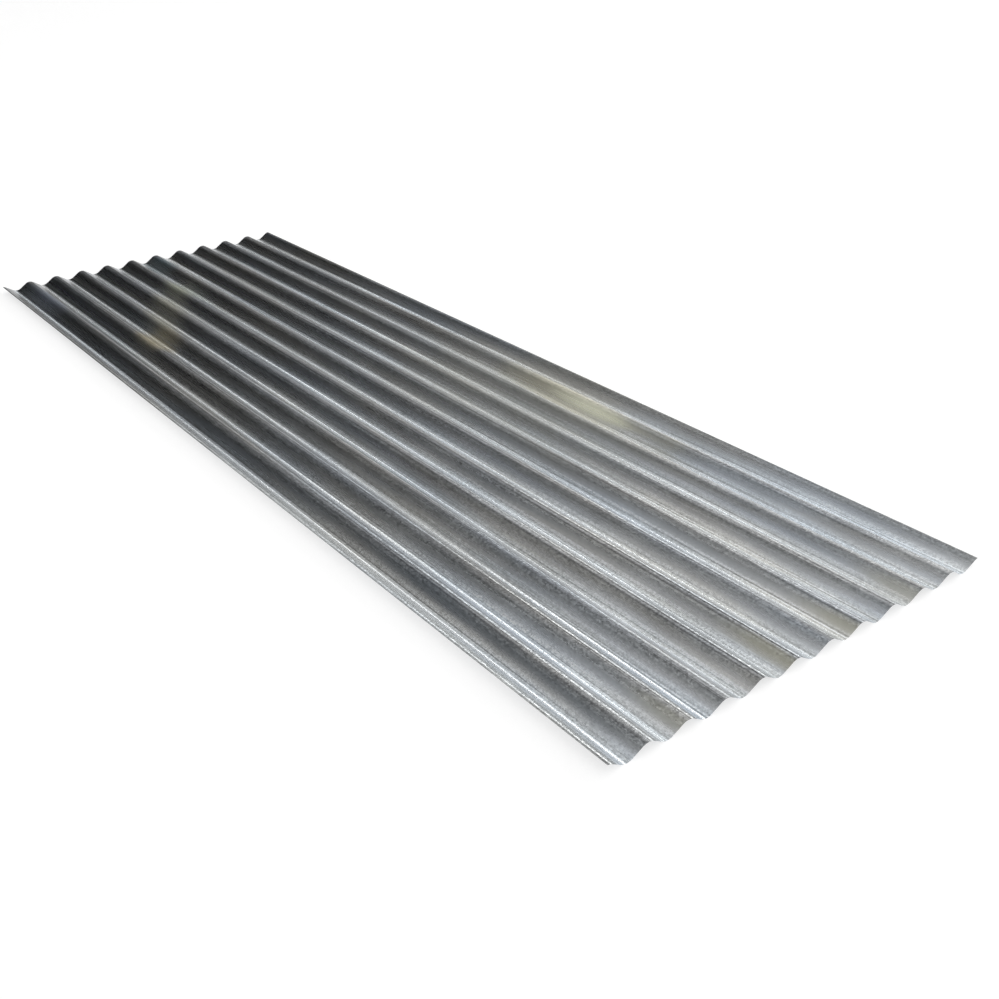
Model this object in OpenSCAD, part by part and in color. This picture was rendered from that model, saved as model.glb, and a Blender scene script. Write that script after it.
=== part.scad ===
// Corrugated metal sheet: one length of galvanised steel, rolled into even waves.
// It lies flat with its waves along X. Its width runs along Y, and Z = 0 is the
// surface that the undersides of the valleys rest on. X = 0 and Y = 0 are its middle.

/* [Sheet] */
// Length of the sheet, along the waves
sheet_length = 2440; // [600:10:6000]
// Thickness of the steel with its zinc coating
sheet_thickness = 0.4; // [0.3:0.05:1.2]

/* [Waves] */
// Number of valleys across the sheet
valley_count = 11; // [3:1:16]
// Distance from one crest to the next
wave_pitch = 76.2; // [66:0.1:130]
// Depth over all, from the underside of the valleys to the top of the crests
wave_depth = 17; // [8:0.5:26]
// Bend radius of the crests and valleys, to the middle of the steel
bend_radius = 20; // [10:0.5:25]
// How far each long edge stops short of the top of the crest that it would form
edge_trim = 2; // [0:0.5:8]

/* [Hidden] */
// Flat steps that each bend is drawn in, even so that one step ends on its top or foot
bend_steps = 12;

// The bends across the sheet, in order: a crest at each long edge, and valleys and crests in turn
bend_count = 2 * valley_count + 1;
half_pitch = wave_pitch / 2;
// A crest bends round a line below it, and a valley round a line above it
crest_centre = wave_depth - sheet_thickness / 2 - bend_radius;
valley_centre = sheet_thickness / 2 + bend_radius;

// A straight flank touches a crest's bend and the next valley's, so its slope follows from both
centre_rise = valley_centre - crest_centre;
centre_distance = norm([half_pitch, centre_rise]);
flank_slope = atan2(half_pitch, centre_rise) - acos(2 * bend_radius / centre_distance);
// Where the steel ends on the two outermost crests, as an angle from their tops
edge_angle = asin(edge_trim / bend_radius);

// Which way a bend arches: 1 for a crest, -1 for a valley
function arch(bend) = bend % 2 == 0 ? 1 : -1;

// Middle of a bend, across the sheet
function bend_across(bend) = (bend - valley_count) * half_pitch;

// Height of the line that a bend goes round
function bend_centre(bend) = arch(bend) > 0 ? crest_centre : valley_centre;

// Angles between which the steel follows a bend, from its top or foot
function bend_start(bend) = bend == 0 ? edge_angle : -flank_slope;
function bend_end(bend) = bend == bend_count - 1 ? -edge_angle : flank_slope;

// Point of a face of the steel on a bend; face is 1 for the upper one and -1 for the lower one
function bend_point(bend, angle, face) =
    let (radius = bend_radius + arch(bend) * face * sheet_thickness / 2)
    [
        bend_across(bend) + radius * sin(angle),
        bend_centre(bend) + arch(bend) * radius * cos(angle)
    ];

// One face of the steel, bend after bend; the flanks are the straight stretches between them
function wave_face(face) = [
    for (bend = [0 : bend_count - 1])
        let (turn = bend_end(bend) - bend_start(bend))
        for (step = [0 : bend_steps])
            bend_point(bend, bend_start(bend) + turn * step / bend_steps, face)
];

function reversed(points) = [for (i = [len(points) - 1 : -1 : 0]) points[i]];

// The section across the waves, with the sheet's width along X and its height along Y
module wave_section() {
    polygon(concat(wave_face(-1), reversed(wave_face(1))));
}

module corrugated_sheet() {
    color("silver")
        rotate([90, 0, 90])
            linear_extrude(height = sheet_length, center = true)
                wave_section();
}

corrugated_sheet();
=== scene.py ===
# %% [markdown]
# # A corrugated metal sheet
# The object is one length of thin galvanised steel, rolled into even, round waves and cut square at
# both ends. It lies flat on a pale studio floor. This lesson rolls the sheet in edit mode, gives it
# its zinc skin, and then sets up the floor, the lights and the camera.

# %% [markdown]
# ## The frame that everything is built in
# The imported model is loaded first. Its one node is the sheet's exact solid, with stepped bends, and
# it tells where the sheet lies and how large it is. All that follows is in metres, in that frame.

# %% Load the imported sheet
import math

import bmesh
import bpy
from mathutils import Matrix, Vector


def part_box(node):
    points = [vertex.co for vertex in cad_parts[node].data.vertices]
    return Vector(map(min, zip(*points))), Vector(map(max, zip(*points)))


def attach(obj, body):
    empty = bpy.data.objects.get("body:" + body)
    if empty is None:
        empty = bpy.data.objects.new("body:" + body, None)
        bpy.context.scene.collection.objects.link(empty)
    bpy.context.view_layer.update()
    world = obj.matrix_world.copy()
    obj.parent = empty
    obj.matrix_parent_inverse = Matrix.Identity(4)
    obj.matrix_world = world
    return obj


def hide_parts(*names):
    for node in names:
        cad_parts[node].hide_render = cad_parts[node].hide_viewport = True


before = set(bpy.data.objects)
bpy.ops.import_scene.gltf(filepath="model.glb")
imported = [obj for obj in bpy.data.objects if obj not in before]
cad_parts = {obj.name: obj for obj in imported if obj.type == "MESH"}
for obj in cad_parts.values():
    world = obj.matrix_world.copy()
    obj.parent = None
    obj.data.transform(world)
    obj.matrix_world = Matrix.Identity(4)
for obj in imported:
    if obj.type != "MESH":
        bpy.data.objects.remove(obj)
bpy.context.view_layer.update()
MM = 0.001
low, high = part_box("corrugated_sheet")
print("sheet solid, mm:", [round(side / MM, 1) for side in high - low])

# %% [markdown]
# ## The section across the waves
# A roll former bends a flat strip over rollers, so each crest and each valley is an arc of one
# radius, and a straight flank joins two arcs and touches both. The length, width and depth come
# from the solid. The pitch, bend radius and thickness are the sheet's own, and the slope of the
# flanks follows from them: it is the only slope at which a flank touches both bends.

# %% Work out the flanks
wave_pitch = 76.2 * MM
bend_radius = 20 * MM
sheet_thickness = 0.4 * MM
edge_trim = 2 * MM
sheet_length = high.x - low.x
wave_depth = high.z - low.z
valley_count = round((high.y - low.y) / wave_pitch)
crest_height = wave_depth - sheet_thickness / 2 - bend_radius
valley_height = sheet_thickness / 2 + bend_radius
centre_rise = valley_height - crest_height
centre_distance = math.hypot(wave_pitch / 2, centre_rise)
flank_slope = math.atan2(wave_pitch / 2, centre_rise) - math.acos(2 * bend_radius / centre_distance)
flank_length = math.sqrt(centre_distance ** 2 - (2 * bend_radius) ** 2)
edge_angle = math.asin(edge_trim / bend_radius)
print("valleys:", valley_count, "flank slope, degrees:", round(math.degrees(flank_slope), 2),
      "flank length, mm:", round(flank_length / MM, 2))

# %% [markdown]
# ## One long edge to start from
# The sheet could be drawn as a flat grid and displaced by a sine wave, but real waves are arcs and
# straight flanks, and a sine would round the flanks. Here one long edge of a plane is kept, cut into
# rows along the sheet, and then rolled. The rows keep the faces from being very long and thin.

# %% Keep one edge of a plane
ROW_SPACING = 40 * MM
row_count = round(sheet_length / ROW_SPACING)
edge_y = -(valley_count * wave_pitch / 2 - edge_trim)
edge_z = crest_height + bend_radius * math.cos(edge_angle)
bpy.ops.object.select_all(action="DESELECT")
bpy.ops.mesh.primitive_plane_add(size=1, location=(0, edge_y, edge_z))
sheet = bpy.context.object
sheet.name = "galvanised_sheet"
sheet.data.name = "galvanised_sheet"
bpy.ops.object.mode_set(mode="EDIT")
bpy.ops.mesh.select_all(action="SELECT")
bpy.ops.transform.resize(value=(sheet_length, wave_pitch, 1), center_override=(0, edge_y, edge_z))
bpy.ops.mesh.select_mode(type="VERT")
bpy.ops.mesh.select_all(action="DESELECT")
mesh = bmesh.from_edit_mesh(sheet.data)
for vert in mesh.verts:
    vert.select = vert.co.y < 0
mesh.select_flush(True)
bpy.ops.mesh.delete(type="VERT")
bpy.ops.mesh.select_all(action="SELECT")
bpy.ops.transform.translate(value=(0, -wave_pitch / 2, 0))
bpy.ops.mesh.subdivide(number_cuts=row_count - 1)
mesh = bmesh.from_edit_mesh(sheet.data)
print("rows along the sheet:", len(mesh.edges), "from y, mm:", round(edge_y / MM, 1))

# %% [markdown]
# ## Rolling the waves
# The edge is spun about the middle of each bend in turn, and extruded straight along each flank.
# A spin leaves its last edge selected, so the next step carries on from there. The first and last
# bends are half crests that stop short of the top, where the strip ended.

# %% Spin the bends and extrude the flanks
BEND_STEPS = 16
bend_count = 2 * valley_count + 1
for bend in range(bend_count):
    crest = bend % 2 == 0
    at_edge = bend in (0, bend_count - 1)
    turn = flank_slope - edge_angle if at_edge else 2 * flank_slope
    centre = (0, (bend - valley_count) * wave_pitch / 2, crest_height if crest else valley_height)
    bpy.ops.mesh.spin(steps=BEND_STEPS // 2 if at_edge else BEND_STEPS, angle=turn if crest else -turn,
                      center=centre, axis=(1, 0, 0))
    if bend < bend_count - 1:
        drop = -math.sin(flank_slope) if crest else math.sin(flank_slope)
        bpy.ops.mesh.extrude_region_move(TRANSFORM_OT_translate={
            "value": (0, flank_length * math.cos(flank_slope), flank_length * drop)})
bpy.ops.mesh.select_all(action="SELECT")
bpy.ops.mesh.remove_doubles(threshold=0.001 * MM)
bpy.ops.mesh.normals_make_consistent(inside=False)
bpy.ops.object.mode_set(mode="OBJECT")
heights = [vert.co.z for vert in sheet.data.vertices]
widths = [vert.co.y for vert in sheet.data.vertices]
print("rolled from y, mm:", round(min(widths) / MM, 2), "to", round(max(widths) / MM, 2),
      "z, mm:", round(min(heights) / MM, 2), "to", round(max(heights) / MM, 2))

# %% [markdown]
# ## The wall
# The rolled surface runs through the middle of the steel. Solidify gives it its thickness, half to
# each side, and the rims at the cut ends and long edges. Smooth shading by angle then rounds the
# bends for the eye and keeps the rims sharp.

# %% Thicken the sheet and smooth its bends
bpy.ops.object.transform_apply(location=True, rotation=True, scale=True)
wall = sheet.modifiers.new("wall", "SOLIDIFY")
wall.thickness = sheet_thickness
wall.offset = 0
wall.use_even_offset = True
bpy.ops.object.modifier_apply(modifier=wall.name)
bpy.ops.object.shade_smooth_by_angle(angle=math.radians(30))
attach(sheet, "root")
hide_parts("corrugated_sheet")
print("faces of the sheet:", len(sheet.data.polygons))

# %% [markdown]
# ## Colours and nodes
# Colours are written as sRGB hex values, as a colour picker shows them, and shaders work in linear
# light, so one function turns one into the other. A second one adds a node, sets its properties, and
# fills its inputs: an input that is given a socket is linked, and any other value is set on it.

# %% Helpers for materials
def linear(hex_colour):
    """A colour written as sRGB hex, such as "C8CACC", as linear red, green, blue and alpha."""
    parts = [int(hex_colour[i:i + 2], 16) / 255 for i in (0, 2, 4)]
    return [p / 12.92 if p <= 0.04045 else ((p + 0.055) / 1.055) ** 2.4 for p in parts] + [1.0]


def add_node(tree, kind, inputs=(), **settings):
    """Adds a node to tree. settings are its properties, inputs maps its sockets to values or to sockets."""
    node = tree.nodes.new(kind)
    for name, value in settings.items():
        setattr(node, name, value)
    for socket, value in dict(inputs).items():
        if isinstance(value, bpy.types.NodeSocket):
            tree.links.new(value, node.inputs[socket])
        else:
            node.inputs[socket].default_value = value
    return node


def new_material(name):
    """An empty node material and its tree."""
    material = bpy.data.materials.new(name)
    material.use_nodes = True
    material.node_tree.nodes.clear()
    return material, material.node_tree


print("zinc grey, linear:", [round(c, 3) for c in linear("CDD0D3")[:3]])

# %% [markdown]
# ## Hot-dip galvanised steel
# The strip was dipped in molten zinc and then rolled. The rollers pressed the crests and the valleys,
# and hardly touched the flanks between them, so the grain of the zinc shows on the bends and the flanks
# stay smooth. The height above the floor tells one from the other: 0 on the floor, 1 at the top of the
# crests. How far it is from half way gives the pressure.

# %% Find the pressed bends
zinc, tree = new_material("hot_dip_galvanised_steel")
place = add_node(tree, "ShaderNodeTexCoord").outputs["Object"]
split = add_node(tree, "ShaderNodeSeparateXYZ", {"Vector": place})
rise = add_node(tree, "ShaderNodeMath", {0: split.outputs["Z"], 1: wave_depth}, operation="DIVIDE")
from_half = add_node(tree, "ShaderNodeMath", {0: rise.outputs[0], 1: 0.5}, operation="SUBTRACT")
distance = add_node(tree, "ShaderNodeMath", {0: from_half.outputs[0]}, operation="ABSOLUTE")
pressed = add_node(tree, "ShaderNodeMapRange", {
    "Value": distance.outputs[0], "From Min": 0.15, "From Max": 0.5, "To Min": 0.15, "To Max": 1.0})


def around_one(pattern, spread):
    """A factor from 1 - spread to 1 + spread for a pattern of 0 to 1, as far as the zinc was pressed."""
    centred = add_node(tree, "ShaderNodeMath", {0: pattern, 1: 0.5}, operation="SUBTRACT")
    pressing = add_node(tree, "ShaderNodeMath", {0: centred.outputs[0], 1: pressed.outputs[0]},
                        operation="MULTIPLY")
    return add_node(tree, "ShaderNodeMath", {0: pressing.outputs[0], 1: 2 * spread, 2: 1.0},
                    operation="MULTIPLY_ADD")


print("heights of the flanks, mm:", [round(share * wave_depth / MM, 1) for share in (0.35, 0.65)])

# %% [markdown]
# ## The spangle
# The zinc froze into small flat crystals, the spangle. Each crystal lies at its own slight tilt, so a
# bright and a dark one sit side by side, most of all where the reflection changes from light to dark.
# A Voronoi texture gives every crystal one random colour, which serves as its tilt and its shade. Real
# fine spangle is about 2 mm across. It is drawn a little coarser, so that it still shows at the far end.

# %% Freeze the spangle
SPANGLE = 2.6 * MM
crystal = add_node(tree, "ShaderNodeTexVoronoi", {"Vector": place, "Scale": 1 / SPANGLE, "Randomness": 1.0},
                   voronoi_dimensions="3D", feature="F1")
centred = add_node(tree, "ShaderNodeVectorMath", {0: crystal.outputs["Color"], 1: (0.5, 0.5, 0.5)},
                   operation="SUBTRACT")
steepness = add_node(tree, "ShaderNodeMapRange", {
    "Value": rise.outputs[0], "From Min": 0.6, "From Max": 1.0, "To Min": 0.05, "To Max": 0.26})
crystal_tilt = add_node(tree, "ShaderNodeVectorMath", {0: centred.outputs[0], "Scale": steepness.outputs[0]},
                        operation="SCALE")
crystal_colour = add_node(tree, "ShaderNodeSeparateColor", {"Color": crystal.outputs["Color"]})
crystal_shade = around_one(crystal_colour.outputs["Red"], 0.24)
print("spangle size, mm:", round(SPANGLE / MM, 2))

# %% [markdown]
# ## Roll marks
# The rollers drew the strip along, so they left fine marks that run with the waves, thin as a thread
# and as long as an arm. A noise texture that is stretched along the sheet gives them. They are drawn
# some millimetres wide, so that they show in the picture. They tip the surface a little from side to
# side, and change its shade and polish.

# %% Draw the roll marks
MARK_LENGTH, MARK_WIDTH = 900 * MM, 4.2 * MM
along = add_node(tree, "ShaderNodeVectorMath", {
    0: place, 1: (1 / MARK_LENGTH, 1 / MARK_WIDTH, 1 / MARK_WIDTH)}, operation="MULTIPLY")
marks = add_node(tree, "ShaderNodeTexNoise", {
    "Vector": along.outputs[0], "Scale": 1.0, "Detail": 2.0, "Roughness": 0.6})
sideways = add_node(tree, "ShaderNodeMapRange", {
    "Value": marks.outputs["Fac"], "From Min": 0.25, "From Max": 0.75, "To Min": -0.07, "To Max": 0.07})
mark_tilt = add_node(tree, "ShaderNodeCombineXYZ", {"Y": sideways.outputs[0]})
tilt = add_node(tree, "ShaderNodeVectorMath", {0: crystal_tilt.outputs[0], 1: mark_tilt.outputs[0]},
                operation="ADD")
surface = add_node(tree, "ShaderNodeNewGeometry").outputs["Normal"]
tilted = add_node(tree, "ShaderNodeVectorMath", {0: surface, 1: tilt.outputs[0]}, operation="ADD")
facing = add_node(tree, "ShaderNodeVectorMath", {0: tilted.outputs[0]}, operation="NORMALIZE")
mark_shade = around_one(marks.outputs["Fac"], 1.2)
print("roll marks, mm:", round(MARK_LENGTH / MM), "by", round(MARK_WIDTH / MM, 1))

# %% [markdown]
# ## Painted light in the valleys, painted shade on the crests
# The colour is painted by height: light in the valleys, where light gathers between the flanks,
# and darker towards the tops of the crests. A ramp turns the height into the shade.

# %% Paint light and shade by height
# Painted light in the valleys and painted shade on the crests, by height.
painted_height_shade = add_node(tree, "ShaderNodeValToRGB", {"Fac": rise.outputs[0]})
PAINTED_HEIGHT_SHADES = ((0.0, "B5B9BB"), (0.17, "D1D5D8"), (0.35, "B9BCBF"), (0.53, "A4A7AA"), (0.71, "989B9D"),
        (0.88, "8F9294"), (1.0, "787A7C"))
for stop, (position, shade) in enumerate(PAINTED_HEIGHT_SHADES):
    step = painted_height_shade.color_ramp.elements[stop] if stop < 2 else painted_height_shade.color_ramp.elements.new(position)
    step.position = position
    step.color = linear(shade)
print("shades from valley to crest:", len(PAINTED_HEIGHT_SHADES))

# %% [markdown]
# ## Painted highlight lines
# Beside the bottom of every valley a few thin highlight lines are painted into the colour, and the
# same lines make the zinc a little smoother. They wander by some millimetres from wave to wave and
# along the sheet. Wrapping Y at the pitch gives the distance from the nearest valley, a slow noise
# makes the lines wander, and a ramp holds one strong painted highlight, weak ones on both sides of
# it, and darker hair lines between them. A level of 0.45 on the ramp leaves the zinc about as it is.

# %% Paint the highlight lines
from_valley = add_node(tree, "ShaderNodeMath", {0: split.outputs["Y"], 1: wave_pitch / 2, 2: -wave_pitch / 2},
                       operation="WRAP")
slow = add_node(tree, "ShaderNodeVectorMath", {0: place, 1: (1 / (900 * MM), 1 / (60 * MM), 0)},
                operation="MULTIPLY")
wander = add_node(tree, "ShaderNodeTexNoise", {"Vector": slow.outputs[0], "Scale": 1.0, "Detail": 1.0})
shift = add_node(tree, "ShaderNodeMapRange", {
    "Value": wander.outputs["Fac"], "From Min": 0.3, "From Max": 0.7,
    "To Min": -2.5 * MM, "To Max": 2.5 * MM})
across = add_node(tree, "ShaderNodeMath", {0: from_valley.outputs[0], 1: shift.outputs[0]}, operation="ADD")
span = add_node(tree, "ShaderNodeMapRange", {
    "Value": across.outputs[0], "From Min": -40 * MM, "From Max": 6 * MM, "To Min": 0.0, "To Max": 1.0})
lines = add_node(tree, "ShaderNodeValToRGB", {"Fac": span.outputs[0]})
# One strong painted highlight line, weaker painted lines beside it, and darker hair lines.
PAINTED_HIGHLIGHT_LINES = ((0.0, 0.45), (0.065, 0.45), (0.12, 0.05), (0.174, 0.45), (0.228, 0.75), (0.283, 0.45), (0.337, 0.05),
         (0.402, 0.45), (0.467, 0.7), (0.533, 0.4), (0.576, 0.15), (0.62, 0.45), (0.674, 0.95), (0.717, 1.0),
         (0.761, 0.9), (0.804, 0.45), (0.848, 0.2), (0.88, 0.45), (0.902, 0.6), (0.93, 0.4), (0.957, 0.22),
         (0.978, 0.45), (1.0, 0.45))
for stop, (position, strength) in enumerate(PAINTED_HIGHLIGHT_LINES):
    step = lines.color_ramp.elements[stop] if stop < 2 else lines.color_ramp.elements.new(position)
    step.position = position
    step.color = (strength, strength, strength, 1)
print("stops of the polished lines:", len(PAINTED_HIGHLIGHT_LINES))

# %% [markdown]
# ## Light and dark streaks
# The marks, the crystals and large soft clouds of thicker and thinner zinc all shade the skin a
# little, and the painted highlight lines brighten it. A painted light makes the colour lighter towards
# the near end and darker towards the far end. Each of these scales the colour.

# %% Shade the skin
clouds = add_node(tree, "ShaderNodeTexNoise", {"Vector": place, "Scale": 1 / (220 * MM), "Detail": 2.0})
cloud_shade = add_node(tree, "ShaderNodeMapRange", {
    "Value": clouds.outputs["Fac"], "From Min": 0.3, "From Max": 0.7, "To Min": 0.9, "To Max": 1.1})
# The lines paint highlights into the colour, and darker hair lines beside them.
painted_highlight_shade = add_node(tree, "ShaderNodeMapRange", {
    "Value": lines.outputs["Color"], "To Min": 0.45, "To Max": 1.75})
# Painted light: the colour is scaled up towards the near end and down towards the far end.
painted_light_toward_near_end = add_node(tree, "ShaderNodeMapRange", {
    "Value": split.outputs["X"], "From Min": low.x, "From Max": high.x, "To Min": 0.93, "To Max": 1.22},
    interpolation_type="SMOOTHSTEP")
shades = [cloud_shade, mark_shade, crystal_shade, painted_highlight_shade, painted_light_toward_near_end]
shade = shades[0]
for more in shades[1:]:
    shade = add_node(tree, "ShaderNodeMath", {0: shade.outputs[0], 1: more.outputs[0]}, operation="MULTIPLY")
shaded = add_node(tree, "ShaderNodeVectorMath", {0: painted_height_shade.outputs["Color"], "Scale": shade.outputs[0]},
                  operation="SCALE")
print("shades that meet in the grey:", len(shades))

# %% [markdown]
# ## The oxide film
# Clean zinc soon grows a thin oxide film, which is a little warm in some streaks and a little cool in
# others. A slow noise that is stretched along the sheet mixes the two tints. No metal gives back more
# light than falls on it, so the colour stops short of white.

# %% Tint the oxide film
STREAK_LENGTH, STREAK_WIDTH = 600 * MM, 50 * MM
streaks = add_node(tree, "ShaderNodeVectorMath", {0: place, 1: (1 / STREAK_LENGTH, 1 / STREAK_WIDTH, 0)},
                   operation="MULTIPLY")
oxide = add_node(tree, "ShaderNodeTexNoise", {"Vector": streaks.outputs[0], "Scale": 1.0, "Detail": 2.0})
warmth = add_node(tree, "ShaderNodeMapRange", {
    "Value": oxide.outputs["Fac"], "From Min": 0.35, "From Max": 0.65})
tint = add_node(tree, "ShaderNodeMix", {0: warmth.outputs[0], 6: linear("F6FAFF"), 7: linear("FFFBF5")},
                data_type="RGBA")
tinted = add_node(tree, "ShaderNodeVectorMath", {0: shaded.outputs[0], 1: tint.outputs[2]},
                  operation="MULTIPLY")
grey = add_node(tree, "ShaderNodeVectorMath", {0: tinted.outputs[0], 1: linear("F2F5F8")[:3]},
                operation="MINIMUM")
print("streaks of the film, mm:", round(STREAK_LENGTH / MM), "by", round(STREAK_WIDTH / MM))

# %% [markdown]
# ## Stains
# Where water lay between stacked sheets, or oil dried, a thin film of its own colour lies on the zinc:
# olive and brown towards the far end, straw on the far side and by the near end, a cool slate in
# places, and a pale dry band along one long edge. One narrow, almost white straw line on the far side
# is a painted highlight. Each stain is a soft oval. A Mapping node moves, turns and shrinks it to a
# unit circle, and its distance from the middle fades it out. The clouds break up its edge. A film
# isn't metal, so it scatters light, and the metal counts for less under it.

# %% Stain the zinc
STAINS = (
    # middle x and y, half length, half width, turn in degrees, colour, strength
    (-0.78, -0.125, 0.36, 0.08, -31, "ABA890", 0.42),
    (-0.59, -0.235, 0.13, 0.06, 0, "B8A982", 0.5),
    (-0.89, -0.018, 0.15, 0.06, 0, "A2AB94", 0.4),
    (0.24, 0.26, 0.55, 0.24, 0, "B8B7AA", 0.3),
    (0.32, 0.325, 0.34, 0.045, 0, "CFCAB0", 0.5),
    # A painted highlight, almost white with a straw tint, on the far side.
    (0.40, 0.326, 0.18, 0.02, 0, "EEEFD8", 0.9),
    (-1.14, 0.02, 0.12, 0.05, 0, "5F7882", 0.5),
    (-1.05, -0.35, 0.18, 0.045, 0, "8F9AAE", 0.5),
    (0.80, -0.357, 0.55, 0.018, 0, "48525B", 0.6),
    (0.45, -0.404, 1.1, 0.022, 0, "D6DADA", 0.6),
    (1.2, 0.247, 0.12, 0.018, 0, "B6B4A4", 0.45),
    (1.2, 0.095, 0.14, 0.018, 0, "B8B49C", 0.5),
    (1.2, -0.053, 0.14, 0.018, 0, "B8B49C", 0.5),
    (1.2, -0.28, 0.12, 0.018, 0, "B6B4A4", 0.45),
)
colour = grey.outputs[0]
bare = add_node(tree, "ShaderNodeValue").outputs[0]
bare.default_value = 1.0
for x, y, half_length, half_width, turn, film, strength in STAINS:
    oval = add_node(tree, "ShaderNodeMapping", {
        "Vector": place, "Location": (x, y, 0), "Rotation": (0, 0, math.radians(turn)),
        "Scale": (half_length, half_width, 1)}, vector_type="TEXTURE")
    reach = add_node(tree, "ShaderNodeVectorMath", {0: oval.outputs[0]}, operation="LENGTH")
    ragged = add_node(tree, "ShaderNodeMath", {0: clouds.outputs["Fac"], 1: 0.8, 2: reach.outputs["Value"]},
                      operation="MULTIPLY_ADD")
    fade = add_node(tree, "ShaderNodeMapRange", {
        "Value": ragged.outputs[0], "From Min": 0.6, "From Max": 1.4, "To Min": strength, "To Max": 0.0},
        interpolation_type="SMOOTHSTEP")
    stained = add_node(tree, "ShaderNodeMix", {0: fade.outputs[0], 6: colour, 7: linear(film)},
                       data_type="RGBA")
    colour = stained.outputs[2]
    covered = add_node(tree, "ShaderNodeMath", {0: fade.outputs[0], 1: -0.25, 2: bare},
                       operation="MULTIPLY_ADD")
    bare = covered.outputs[0]
print("stains:", len(STAINS))

# %% [markdown]
# ## The skin
# Bare zinc is a metal, so the Principled shader's metallic is 1 and its colour is that of the reflection.
# The skin is satin: the marks vary its roughness a little, the polished lines are smoother, and the rubbed
# tops of the crests are rougher.

# %% Join the skin
satin = add_node(tree, "ShaderNodeMapRange", {
    "Value": marks.outputs["Fac"], "From Min": 0.25, "From Max": 0.75, "To Min": 0.36, "To Max": 0.26})
polish = add_node(tree, "ShaderNodeMath", {0: lines.outputs["Color"], 1: -0.06, 2: satin.outputs[0]},
                  operation="MULTIPLY_ADD")
rubbed = add_node(tree, "ShaderNodeMapRange", {
    "Value": rise.outputs[0], "From Min": 0.8, "From Max": 0.97, "To Min": 0.0, "To Max": 0.16})
dulled = add_node(tree, "ShaderNodeMath", {0: polish.outputs[0], 1: rubbed.outputs[0]}, operation="ADD")
skin = add_node(tree, "ShaderNodeBsdfPrincipled", {
    "Base Color": colour, "Metallic": bare, "Roughness": dulled.outputs[0], "Normal": facing.outputs[0]})
add_node(tree, "ShaderNodeOutputMaterial", {"Surface": skin.outputs[0]})
sheet.data.materials.append(zinc)
print("nodes of the zinc skin:", len(tree.nodes))

# %% [markdown]
# ## The studio floor
# A matt white floor, large enough to fill the picture to its top. It shows the shadow that the sheet
# casts on it. What the lights leave short of white is added only for the rays that look at it, so
# that the sheet gets no more light from it.

# %% Lay the floor
bpy.ops.object.select_all(action="DESELECT")
bpy.ops.mesh.primitive_plane_add(size=80)
floor = bpy.context.object
floor.name = "studio_floor"
paint, tree = new_material("matt_white_floor")
seen = add_node(tree, "ShaderNodeLightPath")
either = add_node(tree, "ShaderNodeMath", {
    0: seen.outputs["Is Camera Ray"], 1: seen.outputs["Is Glossy Ray"]}, operation="MAXIMUM")
looked_at = add_node(tree, "ShaderNodeMath", {0: either.outputs[0], 1: seen.outputs["Is Transmission Ray"]},
                     operation="MAXIMUM")
lift = add_node(tree, "ShaderNodeMath", {0: looked_at.outputs[0], 1: 0.63}, operation="MULTIPLY")
matt = add_node(tree, "ShaderNodeBsdfDiffuse", {"Color": linear("B0B0B0")})
glow = add_node(tree, "ShaderNodeEmission", {"Color": linear("FFFFFF"), "Strength": lift.outputs[0]})
both = add_node(tree, "ShaderNodeAddShader", {0: matt.outputs[0], 1: glow.outputs[0]})
add_node(tree, "ShaderNodeOutputMaterial", {"Surface": both.outputs[0]})
floor.data.materials.append(paint)
print("floor, m:", [round(side, 1) for side in floor.dimensions])

# %% [markdown]
# ## The lights
# Bare metal shows its surroundings more than its own colour. The sheet lies in a white room, with a
# low bank of softboxes beyond its far long edge. Weaker strips carry on from it towards the far end, for
# the lines in the valleys there. The camera doesn't see them.

# %% Hang the softboxes
room = bpy.data.worlds.new("white_room")
room.use_nodes = True
room.node_tree.nodes["Background"].inputs["Color"].default_value = linear("FFFFFF")
room.node_tree.nodes["Background"].inputs["Strength"].default_value = 1.0
bpy.context.scene.world = room
LIGHT_DISTANCE = 20.0


def from_bearing(azimuth, elevation, distance):
    """The point at that distance from the sheet's middle, at angles from +X to +Y and above the floor."""
    a, e = math.radians(azimuth), math.radians(elevation)
    return Vector((math.cos(a) * math.cos(e), math.sin(a) * math.cos(e), math.sin(e))) * distance


def hang_softbox(azimuth, elevation, width, height, brightness):
    """A soft lamp that faces the sheet, as wide and high as those angles, and that many times white."""
    softbox = bpy.data.lights.new("softbox", "AREA")
    softbox.shape = "RECTANGLE"
    softbox.size = 2 * LIGHT_DISTANCE * math.tan(math.radians(width / 2))
    softbox.size_y = 2 * LIGHT_DISTANCE * math.tan(math.radians(height / 2))
    softbox.energy = brightness * math.pi * softbox.size * softbox.size_y
    lamp = bpy.data.objects.new("softbox", softbox)
    bpy.context.scene.collection.objects.link(lamp)
    lamp.location = from_bearing(azimuth, elevation, LIGHT_DISTANCE)
    lamp.rotation_euler = lamp.location.to_track_quat("Z", "Y").to_euler()
    lamp.visible_camera = False


hang_softbox(80, 14, 29, 20, 2.4)
hang_softbox(112, 14, 29, 20, 3.3)
hang_softbox(135, 18.5, 29, 9, 1.4)
hang_softbox(156, 12.5, 14, 7, 1.0)

# %% [markdown]
# ## The backdrop
# Behind the far end hangs a cloth that is black in the middle and fades to pale grey all round. The
# black gives the waves their dark flanks, and the fade keeps them soft. It is cut from a sphere around
# the sheet, so that every part of it is equally far off, and the distance from the middle of the black
# sets the shade.

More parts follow.
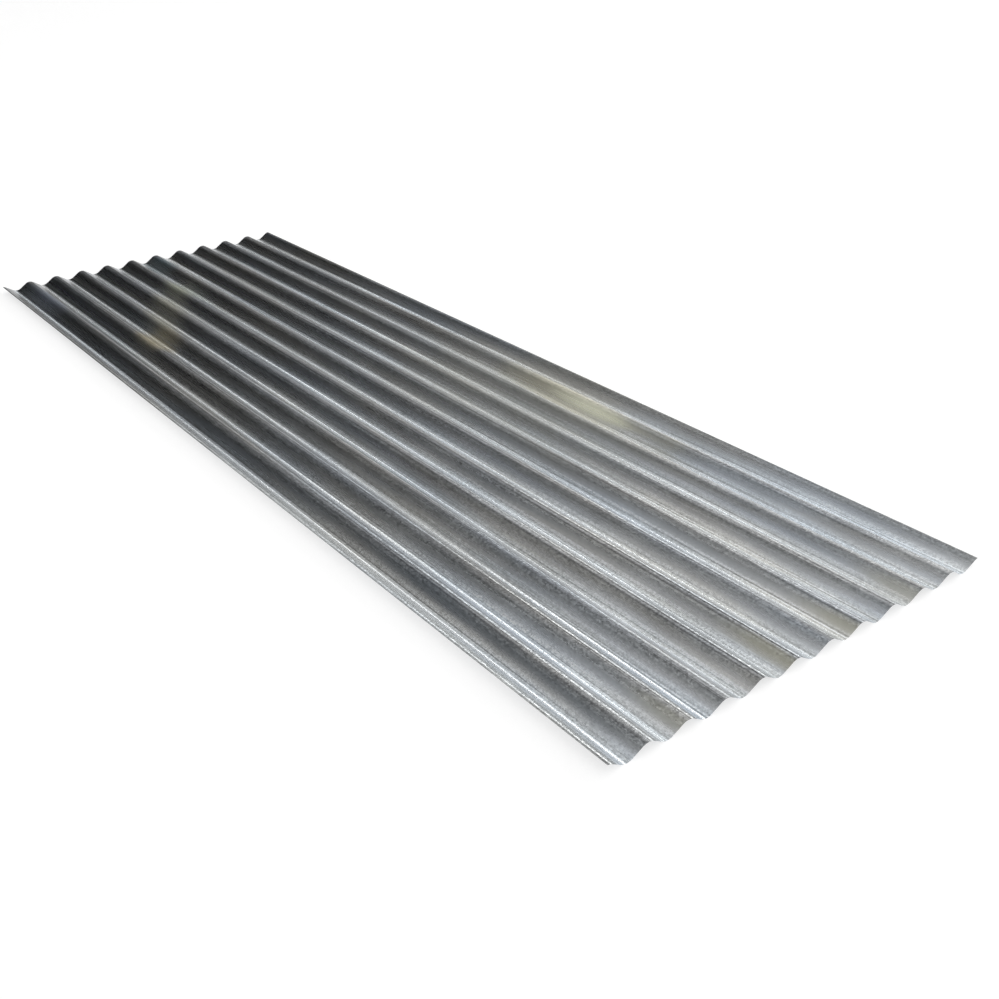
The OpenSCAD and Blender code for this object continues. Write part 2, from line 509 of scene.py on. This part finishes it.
# %% Hang the backdrop
bpy.ops.object.select_all(action="DESELECT")
BACKDROP_DISTANCE = 1.05 * LIGHT_DISTANCE
bpy.ops.mesh.primitive_uv_sphere_add(segments=72, ring_count=36, radius=BACKDROP_DISTANCE)
backdrop = bpy.context.object
backdrop.name = "backdrop"
bpy.ops.object.mode_set(mode="EDIT")
mesh = bmesh.from_edit_mesh(backdrop.data)
for face in mesh.faces:
    middle = face.calc_center_median()
    bearing = math.degrees(math.atan2(middle.y, middle.x)) % 360
    height = math.degrees(math.asin(middle.z / middle.length))
    face.select = not (135 < bearing < 230 and 0 < height < 75)
bpy.ops.mesh.delete(type="FACE")
bpy.ops.object.mode_set(mode="OBJECT")
cloth, tree = new_material("graded_cloth")
spot = add_node(tree, "ShaderNodeTexCoord").outputs["Object"]
from_black = add_node(tree, "ShaderNodeVectorMath", {0: spot, 1: from_bearing(188, 17, BACKDROP_DISTANCE)},
                      operation="DISTANCE")
dye = add_node(tree, "ShaderNodeMapRange", {
    "Value": from_black.outputs["Value"], "From Min": 0.3 * BACKDROP_DISTANCE,
    "From Max": 0.75 * BACKDROP_DISTANCE, "To Min": 0.01, "To Max": 0.95})
matt = add_node(tree, "ShaderNodeBsdfDiffuse", {"Color": dye.outputs[0]})
add_node(tree, "ShaderNodeOutputMaterial", {"Surface": matt.outputs[0]})
backdrop.data.materials.append(cloth)
backdrop.visible_camera = False
print("faces of the backdrop:", len(backdrop.data.polygons))

# %% [markdown]
# ## The camera
# The camera stands off one end of the sheet, about a metre above the floor, and looks down along
# the waves. Its place and lens were fitted to the outline of both ends and both long edges.
# A small lens shift sets the sheet in the picture as the photograph has it.

# %% Set up the camera
IMAGE_SIDE = 999
FOCAL_PIXELS = 1112.9
LENS_CENTRE = (440.25, 602.6)
HEADING, DIP, ROLL = math.radians(144.684), math.radians(34.224), math.radians(-1.245)
lens = bpy.data.cameras.new("camera")
camera = bpy.data.objects.new("camera", lens)
bpy.context.scene.collection.objects.link(camera)
ahead = Vector((math.cos(HEADING) * math.cos(DIP), math.sin(HEADING) * math.cos(DIP), -math.sin(DIP)))
level = Vector((math.sin(HEADING), -math.cos(HEADING), 0))
upright = level.cross(ahead)
right = math.cos(ROLL) * level + math.sin(ROLL) * upright
up = math.cos(ROLL) * upright - math.sin(ROLL) * level
turned = Matrix((right, up, -ahead)).transposed().to_4x4()
camera.matrix_world = Matrix.Translation((1.9751, -1.2136, 1.0108)) @ turned
lens.sensor_width = 36
lens.lens = FOCAL_PIXELS / IMAGE_SIDE * lens.sensor_width
lens.shift_x = 0.5 - LENS_CENTRE[0] / IMAGE_SIDE
lens.shift_y = LENS_CENTRE[1] / IMAGE_SIDE - 0.5
bpy.context.scene.camera = camera
bpy.context.scene.view_settings.view_transform = "Standard"
print("lens, mm:", round(lens.lens, 2), "shift:", round(lens.shift_x, 3), round(lens.shift_y, 3))
